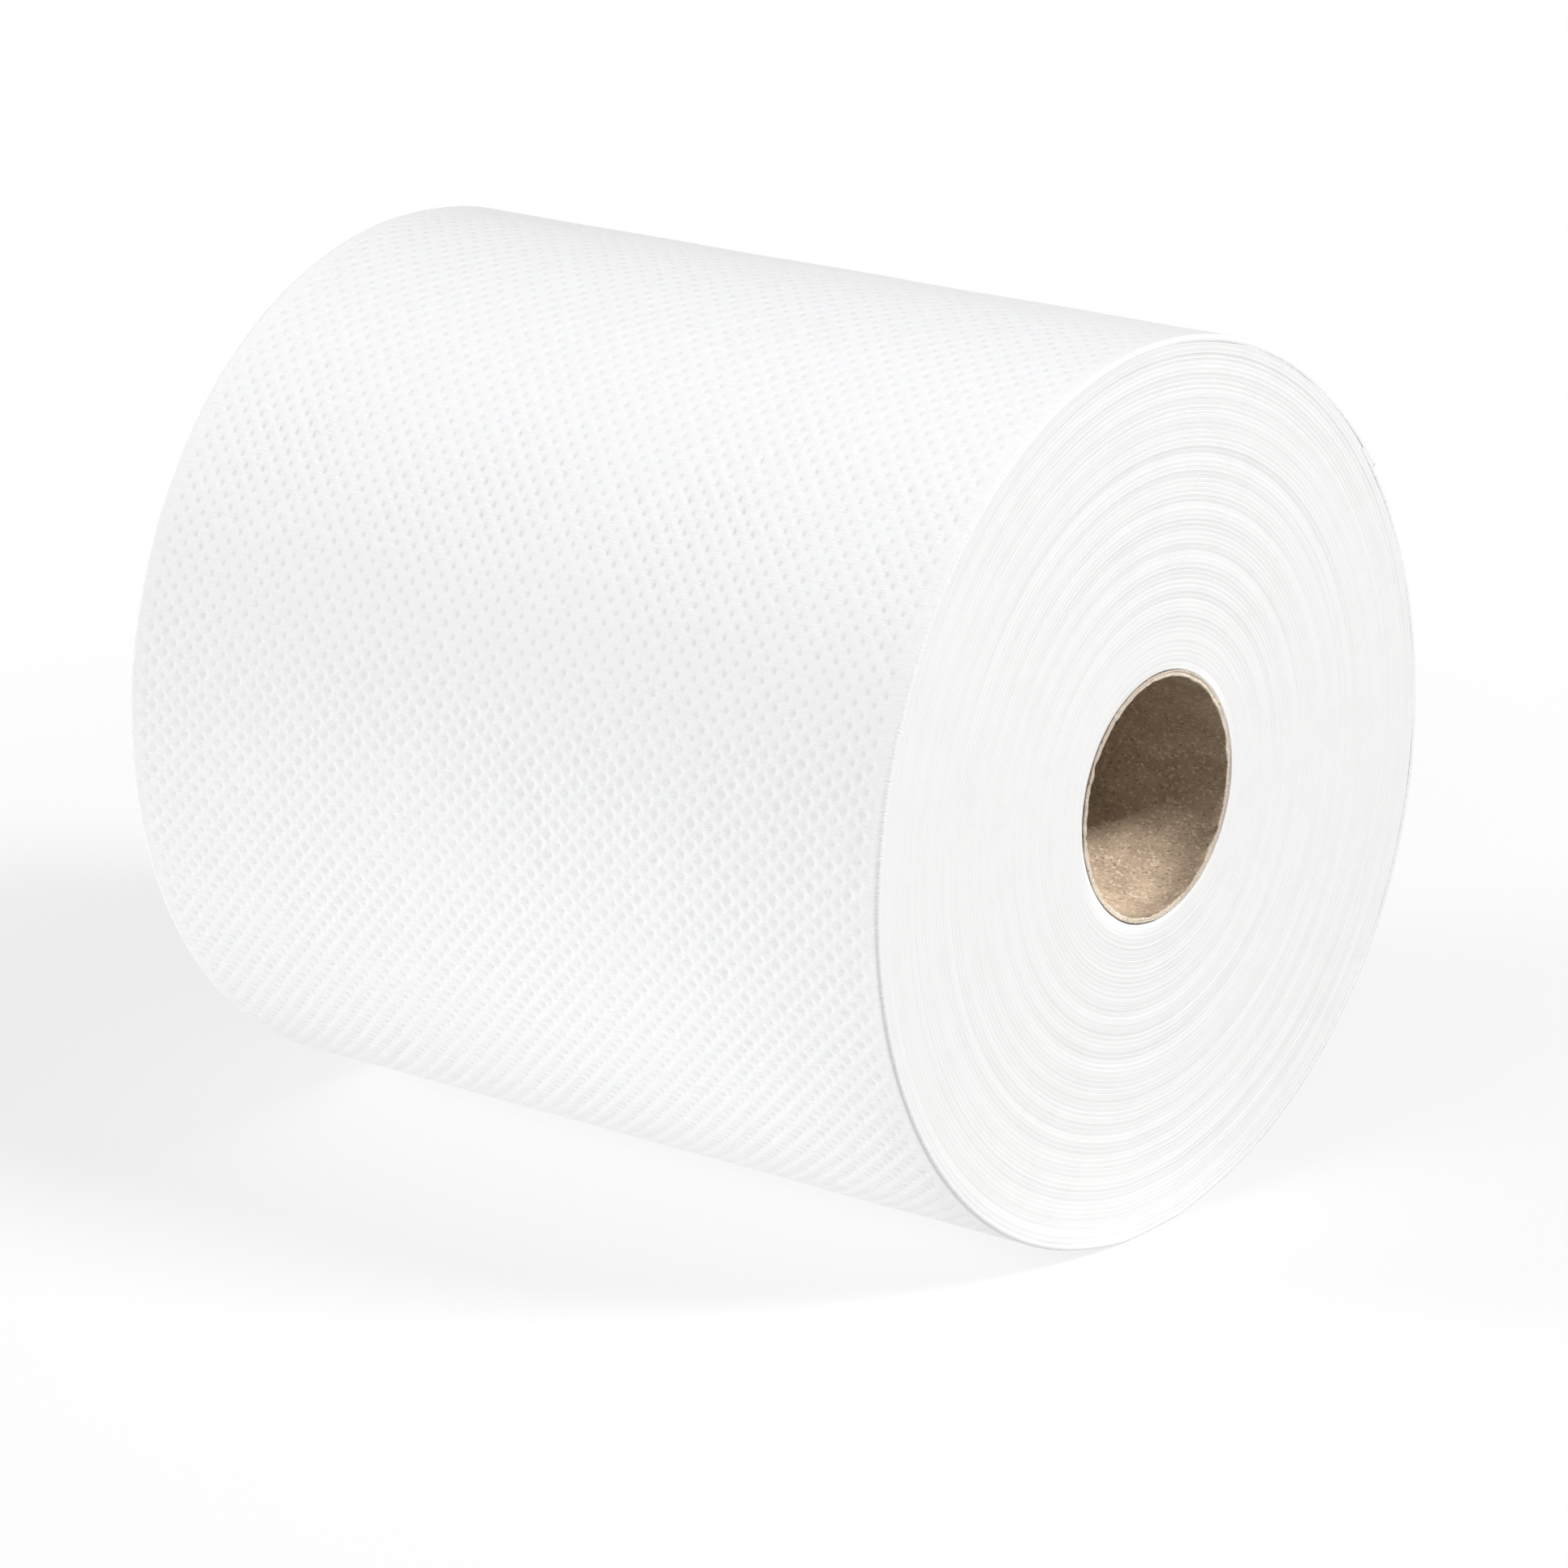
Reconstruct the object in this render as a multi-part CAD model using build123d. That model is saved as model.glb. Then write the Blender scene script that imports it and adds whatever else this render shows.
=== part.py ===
from build123d import *

import math
import os

# A roll of embossed paper towel on a cardboard core, lying on its side.
#
# The roll is one long web wound on a tube. Its axis runs along X, it lies on a small flat at z = 0,
# and the origin is on that flat, under the roll's middle. Lengths are in millimetres. Angles round
# the axis are in degrees, from +Y through +Z, and the web winds inwards in that direction.
#
# towel_roll  all the turns of the web as one solid. The outermost turn ends in a tail, and both cut
#             ends show the turns as a spiral of low steps
# core_tube   the cardboard tube that the web is wound on

# The wound web
roll_width = 198.0
roll_diameter = 191.0
rim_wear = 0.9  # how far the cut rims are worn back
rest_flat_depth = 1.0  # how far the soft roll gives way where it lies

# The tail, the free end of the web, on the side that faces away
tail_angle = 35.0
web_thickness = 0.35  # with its embossing

# The spiral on the cut ends, where one step stands for several layers of the thin web
turn_pitch = 5.0
turn_step = 0.5  # how deep a step falls, along the axis and along the radius alike
crest_depth = 0.06  # of the steps' crests under the flat margins
margin = 1.2  # the flat ring left beside the rim and beside the core

# The core
core_bore = 50.0
core_wall = 1.2

roll_radius = roll_diameter / 2
core_radius = core_bore / 2 + core_wall
half_width = roll_width / 2
axis_height = roll_radius - rest_flat_depth


def polar(radius, angle):
    """A point at that angle round the axis, as (y, z)."""
    turned = math.radians(angle)
    return Vector(radius * math.cos(turned), radius * math.sin(turned))


def half_circle(centre, radius, start):
    middle, end = start + 90, start + 180
    return ThreePointArc(
        centre + polar(radius, start), centre + polar(radius, middle), centre + polar(radius, end)
    )


def outer_turn():
    """The section across the roll: two half circles that spiral in by the web, closed at the tail."""
    inset = web_thickness / 2
    upper = half_circle(Vector(0, 0), roll_radius, tail_angle)
    lower = half_circle(polar(inset, tail_angle + 180), roll_radius - inset, tail_angle + 180)
    tail_edge = Line(lower @ 1, upper @ 0)
    return make_face(Curve() + [upper, lower, tail_edge])


def worn_blank():
    """A turned blank, a little larger than the roll, whose sloping rims wear the web's edges back."""
    outline = Polyline(
        (-half_width, 0),
        (-half_width, roll_radius - rim_wear),
        (-half_width + 2 * rim_wear, roll_radius + rim_wear),
        (half_width - 2 * rim_wear, roll_radius + rim_wear),
        (half_width, roll_radius - rim_wear),
        (half_width, 0),
        close=True,
    )
    return revolve(make_face(outline), Axis.X)


def half_spiral(outer, steps, start, centre):
    """What half a turn of every step takes off the +X end: a saw-toothed ring, half way round."""
    crest = half_width - crest_depth
    clear = 2 * crest_depth  # from the crests to just off the end
    outline = [(crest + clear, outer + clear)]
    for step in range(steps):
        edge = outer - step * turn_pitch
        outline.append((crest - turn_step, edge - turn_step))
        outline.append((crest, edge - turn_pitch))
    last_crest = outer - steps * turn_pitch
    run_out = clear * (turn_pitch - turn_step) / turn_step
    outline[-1] = (crest + clear, last_crest - run_out)
    ring = revolve(make_face(Polyline(*outline, close=True)), Axis.X, 180)
    return Pos(0, centre.X, centre.Y) * (Rot(start, 0, 0) * ring)


def end_spiral():
    """What the turns take off the +X end. The two halves have centres half a pitch apart."""
    drop = turn_pitch / 2
    outer = roll_radius - web_thickness - rim_wear - margin
    inner = core_radius + margin
    steps = int((outer - inner) / turn_pitch) - 1
    upper = half_spiral(outer, steps, tail_angle, Vector(0, 0))
    lower = half_spiral(outer - drop, steps, tail_angle + 180, polar(drop, tail_angle + 180))
    return [upper, lower]


def towel_roll():
    web = extrude(Plane.YZ.offset(-half_width) * outer_turn(), roll_width)
    web &= worn_blank()
    web -= Rot(0, 90, 0) * Cylinder(core_radius, roll_width)
    for half in end_spiral():
        web -= half
        web -= mirror(half, about=Plane.YZ)
    floor = Box(roll_width, roll_diameter, roll_radius, align=(Align.CENTER, Align.CENTER, Align.MAX))
    return Pos(0, 0, axis_height) * web - floor


def core_tube():
    tube = Cylinder(core_radius, roll_width) - Cylinder(core_bore / 2, roll_width)
    return Pos(0, 0, axis_height) * (Rot(0, 90, 0) * tube)


os.makedirs("parts", exist_ok=True)
export_step(towel_roll(), "parts/towel_roll.step")
export_step(core_tube(), "parts/core_tube.step")
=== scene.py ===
# %% [markdown]
# A roll of paper towel
#
# The object is one long web of soft white paper, pressed all over with small dimples and wound on a
# cardboard core. It lies on its side, and one cut end faces the camera.
#
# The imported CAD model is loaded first, as a fixed frame in metres. The roll's axis runs along X, the
# floor is z = 0, and the free end of the web, the tail, lies on the far side. Every size below is read
# from that frame, so that the pieces made here lie where the solids lie.

# %% Load the frame and read its sizes
import math

import bpy
import numpy as np
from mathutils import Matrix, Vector


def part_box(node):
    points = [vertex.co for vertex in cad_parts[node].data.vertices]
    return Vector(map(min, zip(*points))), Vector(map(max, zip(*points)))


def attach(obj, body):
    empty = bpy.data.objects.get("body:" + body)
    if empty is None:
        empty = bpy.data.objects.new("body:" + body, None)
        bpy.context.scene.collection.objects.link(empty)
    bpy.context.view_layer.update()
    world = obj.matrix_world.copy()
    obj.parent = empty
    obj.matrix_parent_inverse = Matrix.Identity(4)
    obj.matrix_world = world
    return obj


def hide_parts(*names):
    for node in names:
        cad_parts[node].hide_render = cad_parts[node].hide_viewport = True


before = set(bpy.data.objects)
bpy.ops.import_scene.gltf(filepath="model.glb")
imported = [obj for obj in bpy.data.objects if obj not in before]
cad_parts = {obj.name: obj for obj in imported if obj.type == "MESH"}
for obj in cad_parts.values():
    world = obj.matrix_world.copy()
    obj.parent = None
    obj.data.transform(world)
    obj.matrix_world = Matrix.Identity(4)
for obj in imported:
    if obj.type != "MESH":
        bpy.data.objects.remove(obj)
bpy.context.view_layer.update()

roll_low, roll_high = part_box("towel_roll")
core_low, core_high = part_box("core_tube")

MM = 0.001
HALF_WIDTH = roll_high.x / MM
CORE_RADIUS = (core_high.z - core_low.z) / 2 / MM
AXIS_HEIGHT = (core_high.z + core_low.z) / 2 / MM
ROLL_RADIUS = roll_high.z / MM - AXIS_HEIGHT
print(f"half width {HALF_WIDTH:.2f}, roll radius {ROLL_RADIUS:.2f}, core radius {CORE_RADIUS:.2f} mm")

# %% [markdown]
# The camera
#
# The photo was taken with a long lens from the front, a little above, and to one side, so that both the
# wound side and a cut end show. A camera can be placed by eye, but a few numbers say it better: the
# direction that it looks from, how far it stands, and what it aims at. All are in roll radii, so they
# hold for a roll of any size.

# %% Place the camera
CAMERA_AZIMUTH = math.radians(38.15)
CAMERA_ELEVATION = math.radians(16.58)
CAMERA_DISTANCE = 14.57
AIM_RIGHT, AIM_UP = 0.0165, -0.1597
LENS, SENSOR_WIDTH = 150.3, 36  # in mm


def camera_directions(azimuth, elevation):
    """The directions towards the camera, to its right and up, as it looks at the roll."""
    right = Vector((math.cos(azimuth), math.sin(azimuth), 0))
    level = Vector((math.sin(azimuth), -math.cos(azimuth), 0))
    back = level * math.cos(elevation) + Vector((0, 0, math.sin(elevation)))
    return back, right, back.cross(right)


back, right, up = camera_directions(CAMERA_AZIMUTH, CAMERA_ELEVATION)
axis_middle = Vector((0, 0, AXIS_HEIGHT)) * MM
radius = ROLL_RADIUS * MM
bpy.ops.object.select_all(action="DESELECT")
bpy.ops.object.camera_add(location=axis_middle + back * CAMERA_DISTANCE * radius)
camera = bpy.context.object
camera.name = "camera"
aim = axis_middle + right * AIM_RIGHT * radius + up * AIM_UP * radius
camera.rotation_euler = (aim - camera.location).to_track_quat("-Z", "Y").to_euler()
camera.data.lens = LENS
camera.data.sensor_width = SENSOR_WIDTH
camera.data.clip_start, camera.data.clip_end = 0.05, 50
bpy.context.scene.camera = camera
print(f"camera {(camera.location - aim).length:.3f} m away")

# %% [markdown]
# Helpers for working on a mesh
#
# By hand, a modeller clicks on corners and edges and then uses a tool on them. A script picks them by
# their place instead. These helpers read and write the corners of a mesh as rows of numbers, and select
# what passes a test, so that the next tool acts on that and nothing else.

# %% Helpers
def corners(piece):
    """The places of a piece's corners, as rows of x, y and z."""
    flat = np.empty(len(piece.data.vertices) * 3)
    piece.data.vertices.foreach_get("co", flat)
    return flat.reshape(-1, 3)


def put_corners(piece, places):
    piece.data.vertices.foreach_set("co", np.ascontiguousarray(places, dtype=float).ravel())
    piece.data.update()


def edge_ends(piece):
    """The two end corners of every edge, as two lists of corner numbers."""
    flat = np.empty(len(piece.data.edges) * 2, dtype=int)
    piece.data.edges.foreach_get("vertices", flat)
    return flat[0::2], flat[1::2]


def pick(piece, chosen, kind="VERT"):
    """Selects only the chosen corners, edges or faces, and leaves the piece in edit mode."""
    if bpy.context.object and bpy.context.object.mode != "OBJECT":
        bpy.ops.object.mode_set(mode="OBJECT")
    mesh = piece.data
    parts = {"VERT": mesh.vertices, "EDGE": mesh.edges, "FACE": mesh.polygons}
    for some in parts.values():
        some.foreach_set("select", np.zeros(len(some), dtype=bool))
    parts[kind].foreach_set("select", np.ascontiguousarray(chosen, dtype=bool))
    bpy.context.tool_settings.mesh_select_mode = (kind == "VERT", kind == "EDGE", kind == "FACE")
    bpy.ops.object.mode_set(mode="EDIT")


def pick_edges_at(piece, side, value, near=0.01):
    """Selects the edges that lie at one value of x, y or z, which is side 0, 1 or 2."""
    at = np.abs(corners(piece)[:, side] - value) < near
    first, second = edge_ends(piece)
    pick(piece, at[first] & at[second], "EDGE")


def object_mode():
    bpy.ops.object.mode_set(mode="OBJECT")


def edit_all():
    """Opens the piece at hand for editing, with everything on it selected."""
    bpy.ops.object.mode_set(mode="EDIT")
    bpy.ops.mesh.select_all(action="SELECT")


def triangles(piece):
    return sum(len(face.vertices) - 2 for face in piece.data.polygons)


def smooth_step(low, high, value):
    share = np.clip((value - low) / (high - low), 0, 1)
    return share * share * (3 - 2 * share)


def ripples(across, along, size, seed, count=7):
    """A gentle uneven surface: a few waves of about one size, in directions set by the seed."""
    chance = np.random.default_rng(seed)
    total = 0
    for _ in range(count):
        heading = chance.uniform(0, math.pi)
        turns = 2 * math.pi / (size * chance.uniform(0.7, 1.5))
        phase = chance.uniform(0, 2 * math.pi)
        total = total + np.sin(turns * (across * math.cos(heading) + along * math.sin(heading)) + phase)
    return total / math.sqrt(count)


# %% [markdown]
# The roll's true outline
#
# A real roll isn't a perfect cylinder. It sags a little, is fuller on one shoulder, and gives way where
# it lies. One way is to pull the finished mesh about with a lattice. Here one function gives the outside
# radius at every angle round the axis, and the outer turn and both cut ends use it, so that they meet.
# Angles start at +Y, at the back, and rise through +Z, at the top. Lengths in these cells are in
# millimetres.

# %% The outside radius at every angle
TAIL_ANGLE = math.radians(35)
SHEET = 0.35  # the web's thickness with its embossing
RIM = 0.9  # how far the rim's soft edge curls over

FOOT_BULGE, FOOT_SPREAD = 0.9, 9  # the soft roll is this much fuller beside its foot, over so many degrees
FOOT_EASE = 0.06  # how gently the flat under the roll runs out into the round
LOWEST = 0.4  # keeps the way to the floor finite at angles that look along it or up
TUCK, TUCK_SINK = 8, 0.02  # how far the web goes on under its own tail, and how deep it sinks there

OUT_OF_ROUND = [  # number of swells round the roll, and their shares of the radius as cosine and sine
    (1, 0.0080, 0.0),
    (2, 0.0045, -0.0080),
    (3, 0.0055, -0.0065),
    (4, -0.0013, -0.0008),
    (5, -0.0006, -0.0001),
]


def outside(angle):
    """The radius of the outermost turn at an angle round the axis."""
    swell = sum(c * np.cos(n * angle) + s * np.sin(n * angle) for n, c, s in OUT_OF_ROUND)
    from_foot = np.degrees(np.abs((angle + math.pi / 2 + math.pi) % (2 * math.pi) - math.pi))
    radius_there = ROLL_RADIUS * (1 + swell) + FOOT_BULGE * np.exp(-((from_foot / FOOT_SPREAD) ** 2))
    to_floor = AXIS_HEIGHT / np.maximum(-np.sin(angle), LOWEST)
    gap = radius_there - to_floor
    return (radius_there + to_floor - np.sqrt(gap * gap + FOOT_EASE)) / 2


def spiral_drop(turned):
    """How far the outermost turn has come in, at an angle counted from the tail's edge."""
    beyond = np.clip(turned, math.pi, 2 * math.pi)
    tucked = TUCK_SINK * np.maximum(turned - 2 * math.pi, 0) * ROLL_RADIUS / TUCK
    return SHEET / 2 * (1 + np.cos(beyond)) + tucked


def squeezed(nominal, angle):
    """Where a layer of a round roll lies in the real one. The rim moves in full, the core not at all."""
    share = np.clip((nominal - CORE_RADIUS) / (ROLL_RADIUS - CORE_RADIUS), 0, 1)
    return nominal + (outside(angle) - ROLL_RADIUS) * share**1.5


def around(x, radial, angle):
    """Points given along, out from and round the axis, as x, y and z in metres."""
    y = radial * np.cos(angle)
    z = AXIS_HEIGHT + radial * np.sin(angle)
    return np.stack([x, y, z], axis=1) * MM


sample = outside(np.radians([0, 90, 180, 270]))
print("outside radius at the back, top, front and foot:", np.round(sample, 2))

# %% [markdown]
# One dimple
#
# The paper is embossed between rollers, which press small dents in staggered rows. The dents could be a
# bump in the material, but then the raking light on them would be dull, so they are modelled. The
# pattern is a diamond net. One diamond is made once: four corners, a six-sided dent that is longer
# round the roll than across it, and a sunk middle. That is 16 triangles, and thousands of them will be
# copied, so it has to be that simple. Smooth shading makes a soft dish of it: the wall that faces the
# light shows as a bright crescent, as in the photo.

# %% Model one diamond with its dent
DIAMOND = (2.3, 2.36)  # half the diamond's width across the web, and half its length along the web
DENT = (0.98, 1.28)  # the dent's half width and half length, to the corners of its six sides
DENT_LIP, DENT_FLOOR = 0.045, 0.37  # how far its lip lies below the sheet, and its middle below the lip

bpy.ops.object.select_all(action="DESELECT")
bpy.ops.mesh.primitive_circle_add(vertices=4, radius=1, fill_type="NOTHING")
skin = bpy.context.object
skin.name = "outer_turn"
edit_all()
bpy.ops.transform.resize(value=(*DIAMOND, 1))
bpy.ops.mesh.select_all(action="DESELECT")
bpy.ops.mesh.primitive_circle_add(vertices=6, radius=1, fill_type="TRIFAN")
bpy.ops.transform.resize(value=(*DENT, 1))
bpy.ops.transform.translate(value=(0, 0, -DENT_LIP))
object_mode()

reach = np.hypot(*corners(skin)[:, :2].T)
pick(skin, reach < 0.01)
bpy.ops.transform.translate(value=(0, 0, -DENT_FLOOR))
object_mode()

first, second = edge_ends(skin)
pick(skin, (reach[first] > 0.1) & (reach[second] > 0.1), "EDGE")
bpy.ops.mesh.bridge_edge_loops()
bpy.ops.mesh.select_all(action="SELECT")
bpy.ops.mesh.quads_convert_to_tris()
object_mode()
print("one diamond:", len(skin.data.vertices), "corners,", triangles(skin), "triangles")

# %% [markdown]
# The embossed web, laid flat
#
# A second diamond is copied into the gap beside the first, and two Array modifiers repeat the pair over
# the whole outermost turn. Merging the doubled corners makes one continuous net. The net is then cut
# straight with the bisect tool, as the real web is slit, between two rows of dents.

# %% Repeat the diamond and trim the web
COLUMNS, ROWS = 44, 130
TURN = 2 * math.pi * ROLL_RADIUS
SLIT = DIAMOND[0] * 42.5  # between two columns of dents
TAIL = DIAMOND[1] * 0.5  # between two rows of dents
TUCKED = TURN + TUCK  # the web goes on a little way under its own tail

edit_all()
bpy.ops.mesh.duplicate()
bpy.ops.transform.translate(value=(*DIAMOND, 0))
bpy.ops.mesh.select_all(action="SELECT")
bpy.ops.transform.translate(value=(-COLUMNS * DIAMOND[0], 0, 0))
object_mode()

for step, count in (((2 * DIAMOND[0], 0, 0), COLUMNS), ((0, 2 * DIAMOND[1], 0), ROWS)):
    repeat = skin.modifiers.new("repeat", "ARRAY")
    repeat.use_relative_offset = False
    repeat.use_constant_offset = True
    repeat.constant_offset_displace = step
    repeat.count = count
    bpy.ops.object.modifier_apply(modifier=repeat.name)

edit_all()
bpy.ops.mesh.remove_doubles(threshold=0.01)
for place, facing in (
    ((SLIT, 0, 0), (1, 0, 0)),
    ((-SLIT, 0, 0), (-1, 0, 0)),
    ((0, TAIL, 0), (0, -1, 0)),
    ((0, TUCKED, 0), (0, 1, 0)),
):
    bpy.ops.mesh.select_all(action="SELECT")
    bpy.ops.mesh.bisect(plane_co=place, plane_no=facing, clear_outer=True)
object_mode()
print("web trimmed:", triangles(skin), "triangles")

# %% [markdown]
# Plain strips at the web's edges
#
# Both long edges are extruded into plain strips, which will curl over the soft rims. The tail's edge is
# extruded down and then back under the web, so that the free end shows the sheet's thickness. Down
# there the new corners are first drawn far too low, so that they can be told apart later.

# %% Extrude the rims and the tail's edge
CURL_START = HALF_WIDTH - RIM
QUARTER = RIM * math.pi / 2
FLAP = 0.5  # how far the curled edge goes on over the cut end
FAR_BELOW = 5
LEAN, FOLDED_BACK = 0.05, 6  # how far the tail's cut edge leans out, and how far the strip goes back

for side in (1, -1):
    reached = SLIT
    for curl in (0, QUARTER / 3, QUARTER * 2 / 3, QUARTER, QUARTER + FLAP):
        pick_edges_at(skin, 0, side * reached)
        move = (side * (CURL_START + curl - reached), 0, 0)
        bpy.ops.mesh.extrude_region_move(TRANSFORM_OT_translate={"value": move})
        object_mode()
        reached = CURL_START + curl

pick_edges_at(skin, 1, TAIL)
bpy.ops.mesh.extrude_region_move(TRANSFORM_OT_translate={"value": (0, -LEAN, -FAR_BELOW)})
bpy.ops.mesh.extrude_region_move(TRANSFORM_OT_translate={"value": (0, FOLDED_BACK, 0)})
bpy.ops.mesh.select_all(action="SELECT")
bpy.ops.mesh.quads_convert_to_tris()
object_mode()
print("web with its edges:", triangles(skin), "triangles")

# %% [markdown]
# Small differences between the dents
#
# Soft paper never takes two dents alike, so each one gets its own depth and a small shift, from seeded
# tables. They are shallower beside the slit edges, and pressed flatter near the foot, where the roll has
# lain. The whole web also gets very gentle ripples. The flat shape is kept as a UV map in metres, for
# the crepe lines in the material, and an attribute says how far inside a dent each corner is.
#
# To find the dent that a corner belongs to, the corner's place is counted along both slanting rows of
# the diamond net. Each diamond of the net has one dent, so two whole numbers name it.

# %% Vary the dents, and keep the flat pattern for the material
DEPTH_VARIES, DEPTH_DRIFTS = 0.22, 0.15  # shares of a dent's depth, from dent to dent and over the web
SHIFT_ACROSS, SHIFT_ALONG = 0.07, 0.10
RIM_EASE = 0.6  # share of the depth that is lost in the last dents before a slit edge
FOOT = TAIL + (1.5 * math.pi - TAIL_ANGLE) * ROLL_RADIUS  # where the roll lies, along the web
FOOT_EASED, FOOT_REACH = 0.5, 95  # share of the depth that is lost there, and how far each way it fades
FIRST_DENT = (60, 10)  # where the tables hold the dent in column 0 and row 0
WEB_WAVES = ((0.045, 42, 5), (0.02, 15, 6))  # the web's ripples: height, size and seed

across, along, height = corners(skin).T.copy()
underside = height < -FAR_BELOW / 2

rising = np.round((across / DIAMOND[0] + along / DIAMOND[1]) / 2).astype(int)
falling = np.round((across / DIAMOND[0] - along / DIAMOND[1]) / 2).astype(int)
column, row = rising + falling, rising - falling
off_across = across - column * DIAMOND[0]
off_along = along - row * DIAMOND[1]
from_middle = np.hypot(off_across / DENT[0], off_along / DENT[1])
in_dent = ~underside & (from_middle < 1.05)

chance = np.random.default_rng(11)
depth, shift_across, shift_along = chance.normal(0, 1, (3, 120, 300)).clip(-2.2, 2.2)
which = (column + FIRST_DENT[0], row + FIRST_DENT[1])
slow = ripples(across, along, 60, 3)
by_rim = 1 - RIM_EASE * smooth_step(SLIT - 3, SLIT - 0.6, np.abs(across))
by_foot = 1 - FOOT_EASED * np.exp(-(((along - FOOT) / FOOT_REACH) ** 2))
own_depth = 1 + DEPTH_VARIES * depth[which] + DEPTH_DRIFTS * slow
height = np.where(in_dent, height * by_rim * by_foot * own_depth, height)
height = np.where(underside, -SHEET, height)
for tall, size, seed in WEB_WAVES:
    height = height + tall * ripples(across, along, size, seed)

# The dent attribute masks the dents' greyer colour in the material: partly the pressed paper, partly painted
# shade in the hollows.
dent_share = np.where(underside, 0, np.clip(1 - from_middle / 2, 0, 1)) * by_rim
pressed = skin.data.attributes.new("dent", "FLOAT", "POINT")
pressed.data.foreach_set("value", dent_share.astype(np.float32))

flat_map = skin.data.uv_layers.new(name="flat_web")
loop_corner = np.empty(len(skin.data.loops), dtype=int)
skin.data.loops.foreach_get("vertex_index", loop_corner)
flat_map.uv.foreach_set("vector", (np.stack([across, along], 1)[loop_corner] * MM).ravel())

across = across + np.where(in_dent, SHIFT_ACROSS * shift_across[which], 0)
along = along + np.where(in_dent, SHIFT_ALONG * shift_along[which], 0)
print("corners inside dents:", int(in_dent.sum()), "deepest", round(float(height[~underside].min()), 3))

# %% [markdown]
# Winding the web on the roll
#
# Now the flat web is wound: the distance along it becomes an angle round the axis, and its height
# becomes a height above the turn below. At the rims the same step curls the plain strips over a quarter
# circle, so that the sheet ends flush with the cut end. The tail lifts off a little, as a free edge does.

# %% Wind the web
FREE_LENGTH = 34  # how much of the tail has come loose
LOOSE, LOOSE_EDGE, LOOSE_WAVES = 0.2, 0.25, 0.8  # its lift, more at the very edge, and the edge's waves
TURNED_IN = 0.24  # how far the curled edge leans in below the cut end, for each mm that it goes on

turned = (along - TAIL) / ROLL_RADIUS
angle = TAIL_ANGLE + turned
free = 1 - smooth_step(0, FREE_LENGTH, along - TAIL)
waves = (1 + LOOSE_WAVES * ripples(across, along * 0, 70, 21, 4)).clip(0.1, 2.5)
lift = free * (LOOSE + LOOSE_EDGE * free * waves)
turn_radius = outside(angle) - spiral_drop(turned) + lift

beyond = np.clip(np.abs(across) - CURL_START, 0, None)
bend = np.minimum(beyond, QUARTER) / RIM
flap = np.maximum(beyond - QUARTER, 0)
x = np.minimum(np.abs(across), CURL_START) + (RIM + height) * np.sin(bend) - TURNED_IN * flap
radial = turn_radius - RIM + (RIM + height) * np.cos(bend) - flap
put_corners(skin, around(np.sign(across) * x, radial, angle))

edit_all()
bpy.ops.mesh.normals_make_consistent(inside=False)
object_mode()
bpy.ops.object.shade_smooth()
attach(skin, "root")
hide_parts("towel_roll")
print("outer turn:", triangles(skin), "triangles")

# %% [markdown]
# The cut ends
#
# A cut end shows the edges of all the turns, hundreds of them, packed in one long spiral from the rim to
# the core. Rings turned on a lathe would be circles, and the turns would never meet the tail. So a flat
# ribbon of ridges is made as a grid, and rolled up: each row of the grid is wound inwards, by one ridge
# for each time round, and joins the next row where the ends meet. One ridge stands for a few real
# layers. Some ridges stand out further than others, and every 5 mm a low step runs in the same
# direction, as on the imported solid.

# %% Roll up a cut end
RIDGE = 1.0  # from one ridge to the next
ROWS_EACH = 3  # rows of the grid for each ridge
ROUND = 240  # steps of the grid once round
RIM_FOLD = ROLL_RADIUS - 1.1  # where the cut end folds in under the outer turn's curled edge
CORE_FOLD = CORE_RADIUS + 0.3  # where it folds in along the core
SPARE = 3.0  # what goes on out of sight, under the outer turn and along the core

SET_BACK = 0.17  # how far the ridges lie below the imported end
CREVICE, CREVICE_VARIES = 0.085, 0.035  # how deep the gaps between ridges are, and how much that changes
OWN_HEIGHT, GROUP_HEIGHT = 0.022, 0.035  # how much one ridge, and a few together, stand out from the rest
AT_CORE = 0.05  # how much deeper the last turn lies, beside the core

BAND, BAND_DEPTH = 5.0, 0.15  # from one low step to the next, and how deep it falls
BAND_START = ROLL_RADIUS - SHEET - RIM - 1.2
BANDS = 12


def band_relief(nominal, turned):
    """How deep the low steps lie below the end: each falls quickly, then rises slowly towards the core."""
    drop = BAND / 2 * (1 + np.cos(np.clip(turned, math.pi, 2 * math.pi)))
    inwards = (BAND_START - drop - nominal) / BAND
    count = inwards + turned / (2 * math.pi)
    share = inwards % 1
    fall = smooth_step(0, 0.4, share)
    rise = smooth_step(0.4, 1, share)
    present = smooth_step(0, 1, count) * (1 - smooth_step(BANDS - 0.5, BANDS + 0.5, count))
    strength = 0.8 + 0.45 * np.sin(2.4 * count) * np.sin(0.9 * count + 1)
    return BAND_DEPTH * strength * present * (fall - rise)


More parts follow.
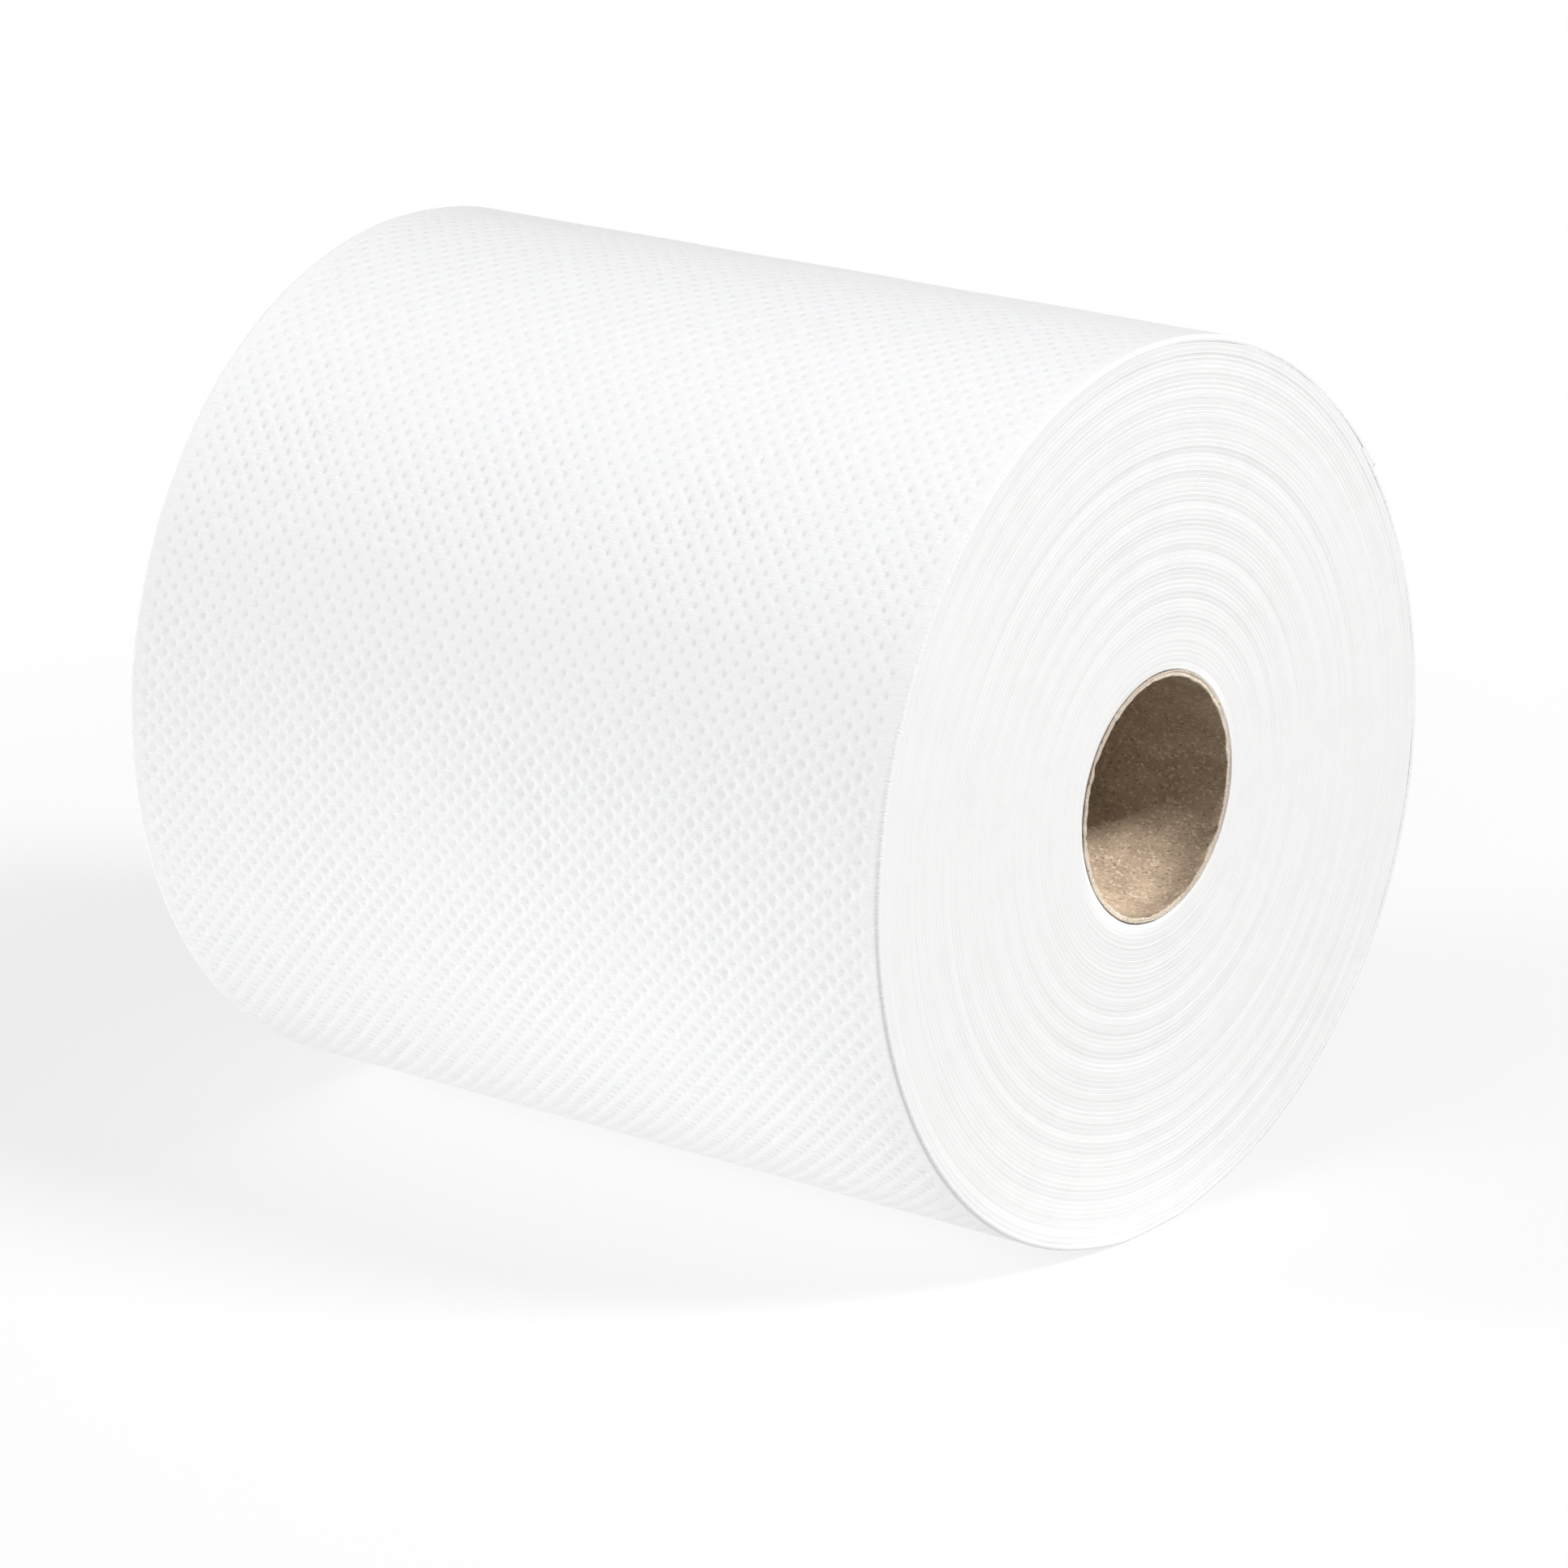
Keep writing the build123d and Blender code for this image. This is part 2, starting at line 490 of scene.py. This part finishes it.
def cut_end(name, side, seed):
    rows = round((RIM_FOLD - CORE_FOLD + 2 * SPARE) / RIDGE) * ROWS_EACH
    bpy.ops.object.select_all(action="DESELECT")
    bpy.ops.mesh.primitive_grid_add(x_subdivisions=rows, y_subdivisions=ROUND, size=1)
    end = bpy.context.object
    end.name = name
    flat = corners(end)
    row = np.round((flat[:, 0] + 0.5) * rows).astype(int)
    share = np.round((flat[:, 1] + 0.5) * ROUND) / ROUND
    turned = share * 2 * math.pi
    nominal = RIM_FOLD + SPARE - row * RIDGE / ROWS_EACH - share * RIDGE

    chance = np.random.default_rng(seed)
    ridge = row // ROWS_EACH + share
    table = chance.normal(0, 1, (3, 2000)).clip(-2, 2)
    spots = np.arange(2000)
    own = np.interp(ridge * 5, spots, table[0])
    group = np.interp(ridge / 2.6, spots, table[1])
    gap = np.interp(ridge * 3, spots, table[2])
    crevice = row % ROWS_EACH == 0
    relief = np.where(crevice, CREVICE + CREVICE_VARIES * gap, OWN_HEIGHT * own) - GROUP_HEIGHT * group
    off_core = smooth_step(CORE_FOLD, CORE_FOLD + 1, nominal)
    inside_rims = off_core * (1 - smooth_step(RIM_FOLD - 1, RIM_FOLD, nominal))
    depth = SET_BACK + inside_rims * (relief + band_relief(nominal, turned))
    depth = depth + AT_CORE * (1 - off_core)

    over = np.maximum(nominal - RIM_FOLD, 0) + np.maximum(CORE_FOLD - nominal, 0)
    kept = np.clip(nominal, CORE_FOLD, RIM_FOLD)
    angle = TAIL_ANGLE + turned
    x = side * (HALF_WIDTH - depth - over)
    put_corners(end, around(x, squeezed(kept, angle), angle))

    layer = end.data.attributes.new("layer", "FLOAT", "POINT")
    layer.data.foreach_set("value", (nominal * MM).astype(np.float32))
    # The crevice attribute is also the mask for the painted shade in the gaps between ridges.
    gaps = end.data.attributes.new("crevice", "FLOAT", "POINT")
    gaps.data.foreach_set("value", (crevice * (0.75 + 0.25 * gap)).astype(np.float32))

    edit_all()
    bpy.ops.mesh.remove_doubles(threshold=0.02 * MM)
    bpy.ops.mesh.normals_make_consistent(inside=False)
    object_mode()
    bpy.ops.object.shade_smooth()
    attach(end, "root")
    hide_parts("towel_roll")
    print(name, triangles(end), "triangles")
    return end


near_end = cut_end("turns_near_end", 1, 31)
far_end = cut_end("turns_far_end", -1, 32)

# %% [markdown]
# The cardboard core
#
# The core is a tube of a few plies of board, wound on a slant and glued. A plain cylinder would do from
# far off, but the photo looks straight into its mouth. So the section of its wall is drawn: a long thin
# rectangle with rounded corners, with many points along the inside and a few across the rims. Spinning
# it round the axis gives the tube. Then the corners are moved: the inside is twisted along the slant of
# its innermost ply, with a shallow seam where that ply's edges meet, and the saw's work shows on the
# rims, which are uneven, with nicks and with plies that part on one side.

# %% Draw the wall's section
BORE = CORE_RADIUS - 1.2
EASED = 0.22  # how far the wall's corners are rounded
TUBE_SEGMENTS = 180
wall_middle = (BORE + CORE_RADIUS) / 2

bpy.ops.object.select_all(action="DESELECT")
bpy.ops.mesh.primitive_plane_add(size=1, location=(0, 0, 0))
core = bpy.context.object
core.name = "core_board_tube"
edit_all()
bpy.ops.transform.resize(value=(2 * HALF_WIDTH, CORE_RADIUS - BORE, 1))
bpy.ops.transform.translate(value=(0, wall_middle, 0))
bpy.ops.mesh.bevel(offset=EASED, segments=2, affect="VERTICES")
bpy.ops.mesh.delete(type="ONLY_FACE")
object_mode()


def subdivide_line(piece, side, value, cuts):
    pick_edges_at(piece, side, value)
    bpy.ops.mesh.subdivide(number_cuts=cuts)
    object_mode()


subdivide_line(core, 1, BORE, 96)
subdivide_line(core, 1, CORE_RADIUS, 12)
subdivide_line(core, 0, HALF_WIDTH, 4)
subdivide_line(core, 0, -HALF_WIDTH, 4)
print("section:", len(core.data.vertices), "points")

# %% Spin it into a tube
edit_all()
bpy.ops.mesh.spin(steps=TUBE_SEGMENTS, angle=2 * math.pi, center=(0, 0, 0), axis=(1, 0, 0))
bpy.ops.mesh.select_all(action="SELECT")
bpy.ops.mesh.remove_doubles(threshold=0.02)
bpy.ops.mesh.normals_make_consistent(inside=False)
object_mode()
print("tube:", triangles(core), "triangles")

# %% Twist the inner ply, and wear the rims
SLANT = HALF_WIDTH  # the inner ply goes once round in this length
SEAM = math.radians(100)  # where the inner ply's edges meet
SEAM_DEPTH = 0.10
SEAM_CLOSED = 0.55  # how far the corners beside the seam move in towards it
BORE_WAVES = 0.05

SAWN_BACK, FRAY, FINE_FRAY = 0.14, 0.10, 0.05  # how far the rims are set back, and how uneven they are
PARTED_AT, PARTED_OVER = math.radians(55), 38  # where the plies part most, and over how many degrees
GROOVE_AT, GROOVE_WIDTH = 0.55, 0.16  # where they part, as shares of the way through the wall
OVAL = 0.006  # how far the mouths are out of round, as a share of the radius
NICKS = [  # where each lies round the rim, in degrees, then its width in degrees and its depth
    (152, 2.2, 0.5),
    (186, 1.6, 0.45),
    (-38, 2.0, 0.5),
    (128, 1.4, 0.25),
    (-75, 1.3, 0.2),
    (10, 1.5, 0.25),
]


def angle_from(angle, middle):
    """How far an angle lies from a middle one, between half a turn back and half a turn on."""
    return (angle - middle + math.pi) % (2 * math.pi) - math.pi


x, y, z = corners(core).T.copy()
radial, angle = np.hypot(y, z), np.arctan2(z, y)
on_bore = (np.abs(radial - BORE) < 0.03) & (np.abs(x) < HALF_WIDTH - EASED / 2)
on_rim = np.abs(x) > HALF_WIDTH - EASED - 0.01
through_wall = np.clip((radial - BORE) / (CORE_RADIUS - BORE), 0, 1)

from_seam = angle_from(angle, SEAM)
spacing = 2 * math.pi / TUBE_SEGMENTS
on_seam = on_bore & (np.abs(from_seam) < spacing / 2)
beside = on_bore & (np.abs(from_seam) > spacing / 2) & (np.abs(from_seam) < spacing * 1.5)
angle = np.where(beside, angle - from_seam * SEAM_CLOSED, angle)
radial = radial + np.where(on_seam, SEAM_DEPTH, 0)
radial = radial + np.where(on_bore, BORE_WAVES * ripples(x, angle * BORE, 30, 41), 0)
angle = np.where(on_bore, angle + 2 * math.pi * x / SLANT, angle)

end_side = np.sign(x)
girth = angle * BORE + end_side * 300
fray = FRAY * ripples(girth, through_wall, 5, 42) + FINE_FRAY * ripples(girth, through_wall * 2, 1.8, 43)
parted = np.exp(-((np.degrees(angle_from(angle, PARTED_AT)) / PARTED_OVER) ** 2))
groove = np.exp(-(((through_wall - GROOVE_AT) / GROOVE_WIDTH) ** 2)) * (0.05 + 0.3 * parted)
nicks = 0
for where, wide, deep in NICKS:
    away = np.degrees(angle_from(angle, math.radians(where)))
    nicks = nicks + deep * np.exp(-((away / wide) ** 2)) * np.clip(1.3 - through_wall * 1.4, 0, 1)
x = x - np.where(on_rim, end_side * (SAWN_BACK + fray + groove + nicks), 0)
pushed_out = through_wall * (0.28 * parted - 0.10) + 0.04 * ripples(girth, x * 0, 7, 44)
radial = radial + np.where(on_rim, pushed_out, 0)
radial = radial + np.where(on_rim, (1 - through_wall) * 0.09 * ripples(girth, x * 0, 2.4, 45), 0)
near_mouth = smooth_step(70, 99, np.abs(x))
radial = radial * (1 + OVAL * np.cos(2 * (angle - 1.0)) * near_mouth)
put_corners(core, around(x, radial, angle))

rim_faces = np.array([on_rim[list(face.vertices)].all() for face in core.data.polygons])
bpy.ops.object.shade_smooth()
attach(core, "root")
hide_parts("core_tube")
print("core:", triangles(core), "triangles,", int(rim_faces.sum()), "faces on the rims")

# %% [markdown]
# Helpers for materials
#
# Each material here is a small network of nodes. One helper adds a node and fills its sockets, either
# with a value or with a link from another node, so that a network reads from top to bottom.

# %% Node helpers
def add(tree, kind, sockets=None, **settings):
    """Adds a node. Each socket is given a value, or another node's output to be linked from."""
    node = tree.nodes.new(kind)
    for name, value in settings.items():
        setattr(node, name, value)
    for name, value in (sockets or {}).items():
        socket = node.inputs[name]
        if isinstance(value, bpy.types.NodeSocket):
            tree.links.new(value, socket)
        else:
            socket.default_value = value
    return node


def blend_colours(tree, share, first, second):
    """A mix of two colours. A colour is four numbers, or another node's output."""
    mixed = add(tree, "ShaderNodeMix", data_type="RGBA")
    mixed.clamp_factor = True
    for place, value in ((0, share), (6, first), (7, second)):
        if isinstance(value, bpy.types.NodeSocket):
            tree.links.new(value, mixed.inputs[place])
        else:
            mixed.inputs[place].default_value = value
    return mixed.outputs[2]


def sums(tree, operation, *values):
    """A sum on one to three values: numbers, or other nodes' outputs."""
    return add(tree, "ShaderNodeMath", dict(enumerate(values)), operation=operation).outputs[0]


def ramp(tree, value, low, high, lowest=0.0, highest=1.0):
    """The lowest level below low, the highest above high, and a smooth change between."""
    ends = {"From Min": low, "From Max": high, "To Min": lowest, "To Max": highest}
    node = add(tree, "ShaderNodeMapRange", {"Value": value, **ends}, interpolation_type="SMOOTHSTEP")
    return node.outputs["Result"]


def noise(tree, vector, scale, detail, roughness=0.5):
    sockets = {"Vector": vector, "Scale": scale, "Detail": detail, "Roughness": roughness}
    return add(tree, "ShaderNodeTexNoise", sockets).outputs[0]


def attribute(tree, name):
    return add(tree, "ShaderNodeAttribute", attribute_name=name).outputs["Fac"]


def object_coordinates(tree):
    return add(tree, "ShaderNodeTexCoord").outputs["Object"]


def dress(tree, shader, colour, roughness, sheen, relief, strength, depth):
    """Joins a shader to its colour, its roughness and a fine relief, whose depth is in metres."""
    bump = add(tree, "ShaderNodeBump", {"Height": relief, "Strength": strength, "Distance": depth})
    tree.links.new(colour, shader.inputs["Base Color"])
    tree.links.new(roughness, shader.inputs["Roughness"])
    tree.links.new(bump.outputs["Normal"], shader.inputs["Normal"])
    shader.inputs["Specular IOR Level"].default_value = sheen


def seen_directly(tree):
    """1 for rays that the camera sees, also in a mirror or through glass, and 0 for rays that only light."""
    rays = add(tree, "ShaderNodeLightPath").outputs
    shiny = sums(tree, "MAXIMUM", rays["Is Glossy Ray"], rays["Is Transmission Ray"])
    return sums(tree, "MAXIMUM", rays["Is Camera Ray"], shiny)


def new_material(name):
    material = bpy.data.materials.new(name)
    material.use_nodes = True
    tree = material.node_tree
    return material, tree, tree.nodes["Principled BSDF"]


# %% [markdown]
# Fibres
#
# Paper and board are both matted fibres, so all four materials share one effect, built once as a node
# group: fine flecks, a softer clouding, and a height for the bump. Each material sets its own sizes, so
# they are inputs.

# %% Build the fibre group
fibres = bpy.data.node_groups.new("Matted fibres", "ShaderNodeTree")
for name, way, kind in (
    ("Vector", "INPUT", "NodeSocketVector"),
    ("Fleck Scale", "INPUT", "NodeSocketFloat"),
    ("Cloud Scale", "INPUT", "NodeSocketFloat"),
    ("Fleck", "OUTPUT", "NodeSocketFloat"),
    ("Cloud", "OUTPUT", "NodeSocketFloat"),
    ("Height", "OUTPUT", "NodeSocketFloat"),
):
    fibres.interface.new_socket(name, in_out=way, socket_type=kind)
given = fibres.nodes.new("NodeGroupInput").outputs
fleck = noise(fibres, given["Vector"], given["Fleck Scale"], 4.0, 0.65)
cloud = noise(fibres, given["Vector"], given["Cloud Scale"], 3.0)
given_out = fibres.nodes.new("NodeGroupOutput").inputs
fibres.links.new(fleck, given_out["Fleck"])
fibres.links.new(cloud, given_out["Cloud"])
fibres.links.new(sums(fibres, "MULTIPLY_ADD", cloud, 0.6, fleck), given_out["Height"])


def place_fibres(tree, vector, fleck_scale, cloud_scale):
    sockets = {"Vector": vector, "Fleck Scale": fleck_scale, "Cloud Scale": cloud_scale}
    return add(tree, "ShaderNodeGroup", sockets, node_tree=fibres).outputs


print("fibre group:", [item.name for item in fibres.interface.items_tree])

# %% [markdown]
# The embossed paper
#
# Towel paper is white and dull. It is creped: scraped off its drying roll in tiny wrinkles that run
# straight across the web, along the axis. A stretched noise on the flat UV map gives those wrinkles, a
# few tenths of a millimetre apart, and their furrows are painted a touch greyer, as painted shade. The
# dents are painted a shade greyer, partly because the paper is pressed thinner there and partly as
# painted shade in the hollows, a little cooler in some places and warmer in others.

# %% Material for the outer turn
CREPE = (290.0, 2400.0, 1.0)  # wrinkles in a metre, along the axis and round the roll
# The dent colours are greyer than the sheet, partly for the pressed paper and partly as painted shade in the
# dents. The wrinkle colour is painted shade in the crepe's furrows.
COOL_DENT_AND_SHADE, WARM_DENT_AND_SHADE = (0.812, 0.815, 0.829, 1), (0.835, 0.799, 0.820, 1)
SHEET_DULL, SHEET_BRIGHT = (0.882, 0.885, 0.894, 1), (0.898, 0.900, 0.906, 1)
WRINKLE_SHADE = (0.866, 0.869, 0.880, 1)

paper, tree, shader = new_material("embossed paper")
flat_uv = add(tree, "ShaderNodeUVMap", uv_map="flat_web").outputs["UV"]
object_place = object_coordinates(tree)
soft = place_fibres(tree, object_place, 1900.0, 210.0)
crepe_place = add(tree, "ShaderNodeMapping", {"Vector": flat_uv, "Scale": CREPE}).outputs["Vector"]
crepe = noise(tree, crepe_place, 1.0, 2.0, 0.55)

tint = ramp(tree, noise(tree, object_place, 160.0, 1.0), 0.46, 0.62)
dent_colour_and_shade = blend_colours(tree, tint, COOL_DENT_AND_SHADE, WARM_DENT_AND_SHADE)
sheet_colour = blend_colours(tree, soft["Cloud"], SHEET_DULL, SHEET_BRIGHT)
# Painted shade: the crepe's furrows, the low parts of the same noise that gives the wrinkles' bump, are a
# touch greyer.
sheet_colour = blend_colours(tree, ramp(tree, crepe, 0.30, 0.46), WRINKLE_SHADE, sheet_colour)
# The dents get their greyer colour here, partly painted shade in the hollows.
dent_shade_mask = ramp(tree, attribute(tree, "dent"), 0.55, 0.89)
colour = blend_colours(tree, dent_shade_mask, sheet_colour, dent_colour_and_shade)
roughness = sums(tree, "MULTIPLY_ADD", soft["Fleck"], 0.16, 0.80)
wrinkles = sums(tree, "MULTIPLY_ADD", crepe, 2.2, soft["Height"])
dress(tree, shader, colour, roughness, 0.25, wrinkles, 1.0, 0.08 * MM)
skin.data.materials.append(paper)
print(paper.name, len(tree.nodes), "nodes")

# %% [markdown]
# The cut edges
#
# On the cut ends the knife has left a soft, dull nap. The layers between two modelled ridges are too
# fine for a mesh, so fine bump lines follow them, read from the "layer" attribute, which is how far out
# each corner lies. The gaps between ridges, which the "crevice" attribute marks, are painted a touch
# darker, as painted shade in the gaps.

# %% Material for the cut ends
LINE, WANDER = 0.36 * MM, 0.9 * MM  # from one fine line to the next, and how far the lines stray
NAP_DULL, NAP_BRIGHT = (0.872, 0.866, 0.862, 1), (0.896, 0.892, 0.890, 1)
# The gap colour is painted shade in the gaps between ridges.
GAP_SHADE = (0.80, 0.785, 0.775, 1)

cut_edges, tree, shader = new_material("cut paper edges")
nap = place_fibres(tree, object_coordinates(tree), 1500.0, 130.0)
strayed = sums(tree, "MULTIPLY_ADD", nap["Cloud"], WANDER, attribute(tree, "layer"))
lines = sums(tree, "SINE", sums(tree, "MULTIPLY", strayed, 2 * math.pi / LINE))
lines = sums(tree, "MULTIPLY", lines, ramp(tree, nap["Cloud"], 0.35, 0.65))

colour = blend_colours(tree, nap["Cloud"], NAP_DULL, NAP_BRIGHT)
# Painted shade: the gaps between ridges are darker.
colour = blend_colours(tree, sums(tree, "MULTIPLY", attribute(tree, "crevice"), 0.55), colour, GAP_SHADE)
roughness = sums(tree, "MULTIPLY_ADD", nap["Fleck"], 0.12, 0.86)
edges = sums(tree, "MULTIPLY_ADD", lines, 0.5, nap["Height"])
dress(tree, shader, colour, roughness, 0.15, edges, 0.9, 0.04 * MM)
for end in (near_end, far_end):
    end.data.materials.append(cut_edges)
print(cut_edges.name, len(tree.nodes), "nodes")

# %% [markdown]
# The board
#
# Core board is recycled grey-brown paper, full of light and dark flecks. The bore gets a warm brown
# with both kinds of fleck, drawn out a little along the ply, and set darker than the board's own
# colour, as painted shade deep inside the tube. The sawn rim is paler: it shows the broken fibres of
# the plies, and it is not darkened as the bore is.

# %% Materials for the core
def board(name, dark, light, pale_fleck, dark_fleck):
    material, tree, shader = new_material(name)
    along_ply = {"Vector": object_coordinates(tree), "Rotation": (0, 0, 0.3), "Scale": (0.55, 1.0, 1.0)}
    drawn = add(tree, "ShaderNodeMapping", along_ply).outputs["Vector"]
    coarse = place_fibres(tree, drawn, 1700.0, 260.0)
    specks = noise(tree, drawn, 2100.0, 1.0)
    colour = blend_colours(tree, ramp(tree, coarse["Cloud"], 0.3, 0.7), dark, light)
    colour = blend_colours(tree, ramp(tree, coarse["Fleck"], 0.51, 0.68), colour, pale_fleck)
    colour = blend_colours(tree, ramp(tree, specks, 0.60, 0.72), colour, dark_fleck)
    roughness = sums(tree, "MULTIPLY_ADD", coarse["Fleck"], 0.2, 0.72)
    dress(tree, shader, colour, roughness, 0.3, coarse["Height"], 1.0, 0.10 * MM)
    return material


# The bore's colours are darker than the board's own colour, partly as painted shade inside the tube.
shaded_bore_board = board(
    "bore board with painted shade",
    dark=(0.275, 0.208, 0.147, 1),
    light=(0.355, 0.272, 0.192, 1),
    pale_fleck=(0.53, 0.42, 0.31, 1),
    dark_fleck=(0.16, 0.122, 0.086, 1),
)
sawn_board = board(
    "sawn board",
    dark=(0.52, 0.44, 0.35, 1),
    light=(0.62, 0.54, 0.45, 1),
    pale_fleck=(0.74, 0.67, 0.59, 1),
    dark_fleck=(0.36, 0.28, 0.20, 1),
)
core.data.materials.append(shaded_bore_board)
core.data.materials.append(sawn_board)
core.data.polygons.foreach_set("material_index", rim_faces.astype(np.int32))
core.data.update()
print("materials on the core:", [material.name for material in core.data.materials])

# %% [markdown]
# Floor and light
#
# The photo is a studio shot, white all round. A soft key lamp stands above, on the side of the cut end,
# and another soft lamp at the front left, so that the wound side falls off to a pale grey between them.
# A weak lamp softens the line of the near rim.
#
# The floor is a real surface near the roll, so that it takes the shadow, and turns into plain white
# further out. A lit white floor throws light back up, which is what brightens the roll's lower side. The
# simplest way is a glow that the camera can't see: strong in front of the roll, and faded out towards
# the sides and the cut end. To the camera the surroundings are white too, but they light the roll less.

# %% Floor, white to the camera
WHITE = (1, 1, 1, 1)
FLOOR_SEEN, FLOOR_LIGHTING = (0.9, 0.9, 0.9, 1), (0.30, 0.30, 0.30, 1)

bpy.ops.object.select_all(action="DESELECT")
bpy.ops.mesh.primitive_plane_add(size=12, location=(0, 0, 0))
floor = bpy.context.object
floor.name = "floor"
floor_white, tree, shader = new_material("floor white")
shader.inputs["Roughness"].default_value = 0.9
shader.inputs["Specular IOR Level"].default_value = 0.1
seen = seen_directly(tree)
tree.links.new(blend_colours(tree, seen, FLOOR_LIGHTING, FLOOR_SEEN), shader.inputs["Base Color"])

place = object_coordinates(tree)
distance = add(tree, "ShaderNodeVectorMath", {0: place}, operation="LENGTH").outputs["Value"]
far_off = ramp(tree, distance, 0.16, 0.5, 0.68, 1.0)
plain = add(tree, "ShaderNodeEmission", {"Color": WHITE, "Strength": 1.0}).outputs["Emission"]
to_camera = add(tree, "ShaderNodeMixShader", {"Fac": far_off, 1: shader.outputs["BSDF"], 2: plain})
floor.data.materials.append(floor_white)
print("floor:", len(tree.nodes), "nodes")

# %% The floor's glow, which lights the roll from below
GLOW_LEFT, GLOW_RIGHT = 0.67, 0.80  # it stays close to the roll at the left, and reaches further at the right

parts = add(tree, "ShaderNodeSeparateXYZ", {"Vector": place}).outputs
x, y = parts["X"], parts["Y"]  # in metres, with the roll's middle at 0
near_roll = ramp(tree, y, -0.24, -0.12)
at_right = ramp(tree, x, -0.12, 0.05)
close_level = sums(tree, "MULTIPLY_ADD", at_right, -GLOW_RIGHT, GLOW_LEFT)
level = sums(tree, "MULTIPLY_ADD", near_roll, close_level, sums(tree, "MULTIPLY", at_right, GLOW_RIGHT))
past_end = sums(tree, "MULTIPLY", ramp(tree, x, 0.34, 0.22), 0.10)
clear_of_end = sums(tree, "MULTIPLY_ADD", ramp(tree, x, 0.16, 0.06), 0.90, past_end)
in_front = sums(tree, "MULTIPLY", ramp(tree, y, -0.75, -0.45), ramp(tree, y, 0.08, -0.02))
sideways = sums(tree, "MULTIPLY", ramp(tree, x, -0.30, -0.18), clear_of_end)
glow_level = sums(tree, "MULTIPLY", sums(tree, "MULTIPLY", in_front, sideways), level)
glow = add(tree, "ShaderNodeEmission", {"Color": WHITE, "Strength": glow_level}).outputs["Emission"]
to_roll = add(tree, "ShaderNodeAddShader", {0: shader.outputs["BSDF"], 1: glow})

mixed = add(tree, "ShaderNodeMixShader", {"Fac": seen, 1: to_roll.outputs[0], 2: to_camera.outputs[0]})
tree.links.new(mixed.outputs["Shader"], tree.nodes["Material Output"].inputs["Surface"])
print("floor with its glow:", len(tree.nodes), "nodes")

# %% World
LOW_GREY, HIGH_GREY = (0.26, 0.26, 0.262, 1), (0.22, 0.22, 0.222, 1)

world = bpy.data.worlds.new("studio")
bpy.context.scene.world = world
world.use_nodes = True
tree = world.node_tree
tree.nodes.clear()
heading = add(tree, "ShaderNodeTexCoord").outputs["Generated"]
parts = add(tree, "ShaderNodeSeparateXYZ", {"Vector": heading}).outputs
grey = blend_colours(tree, ramp(tree, parts["Z"], -0.1, 0.9), LOW_GREY, HIGH_GREY)
lighting = add(tree, "ShaderNodeBackground", {"Color": grey, "Strength": 1.0}).outputs[0]
backdrop = add(tree, "ShaderNodeBackground", {"Color": WHITE, "Strength": 1.0}).outputs[0]
mixed = add(tree, "ShaderNodeMixShader", {"Fac": seen_directly(tree), 1: lighting, 2: backdrop})
add(tree, "ShaderNodeOutputWorld", {"Surface": mixed.outputs["Shader"]})
print("world:", len(tree.nodes), "nodes")

# %% [markdown]
# Lamps
#
# A lamp's power says little by itself, since the same lamp is brighter when it is near. So each one is
# given by the level of brightness that it lends to a white surface facing it, and its power is worked
# out from that.
#
# The core is deep and narrow, and the soft lamps hardly reach into it. In the photo a pool of light lies
# on the lower half of its mouth, so a small spot looks down into it at a slant. It is squeezed to an
# oval, so that it lights the bore and not the cut end round it.

# %% Lamps
def place_lamp(name, kind, target, heading, away):
    """Adds a lamp that looks at the target from a heading, so far away."""
    bpy.ops.object.select_all(action="DESELECT")
    bpy.ops.object.light_add(type=kind, location=target + heading * away)
    lamp = bpy.context.object
    lamp.name = name
    lamp.rotation_euler = (-heading).to_track_quat("-Z", "Y").to_euler()
    return lamp


for name, heading, away, size, level in (
    ("key lamp", (0.74, 0.20, 0.64), 3.2, 1.0, 0.88),
    ("front lamp", (-0.72, -0.64, 0.26), 5.0, 1.8, 0.75),
    ("rim lamp", (0.60, -0.75, 0.20), 3.6, 1.6, 0.16),
):
    lamp = place_lamp(name, "AREA", axis_middle, Vector(heading).normalized(), away)
    lamp.data.size = size
    lamp.data.energy = level * math.pi**2 * away**2
    print(name, round(lamp.data.energy, 1), "W")

SPOT_AWAY, SPOT_RADIUS, SPOT_LEVEL = 1.2, 0.024, 2.0
mouth = axis_middle + Vector((HALF_WIDTH * MM, 0, 0))
bore_lamp = place_lamp("bore lamp", "SPOT", mouth, Vector((0.70, 0.10, 0.70)).normalized(), SPOT_AWAY)
bore_lamp.scale = (1, 0.70, 1)
bore_lamp.data.spot_size = 2 * math.atan(SPOT_RADIUS / SPOT_AWAY)
bore_lamp.data.spot_blend = 0.25
bore_lamp.data.shadow_soft_size = 0.004
bore_lamp.data.energy = SPOT_LEVEL * 4 * math.pi**2 * SPOT_AWAY**2
print(bore_lamp.name, round(bore_lamp.data.energy, 1), "W")
bpy.context.scene.view_settings.view_transform = "Standard"
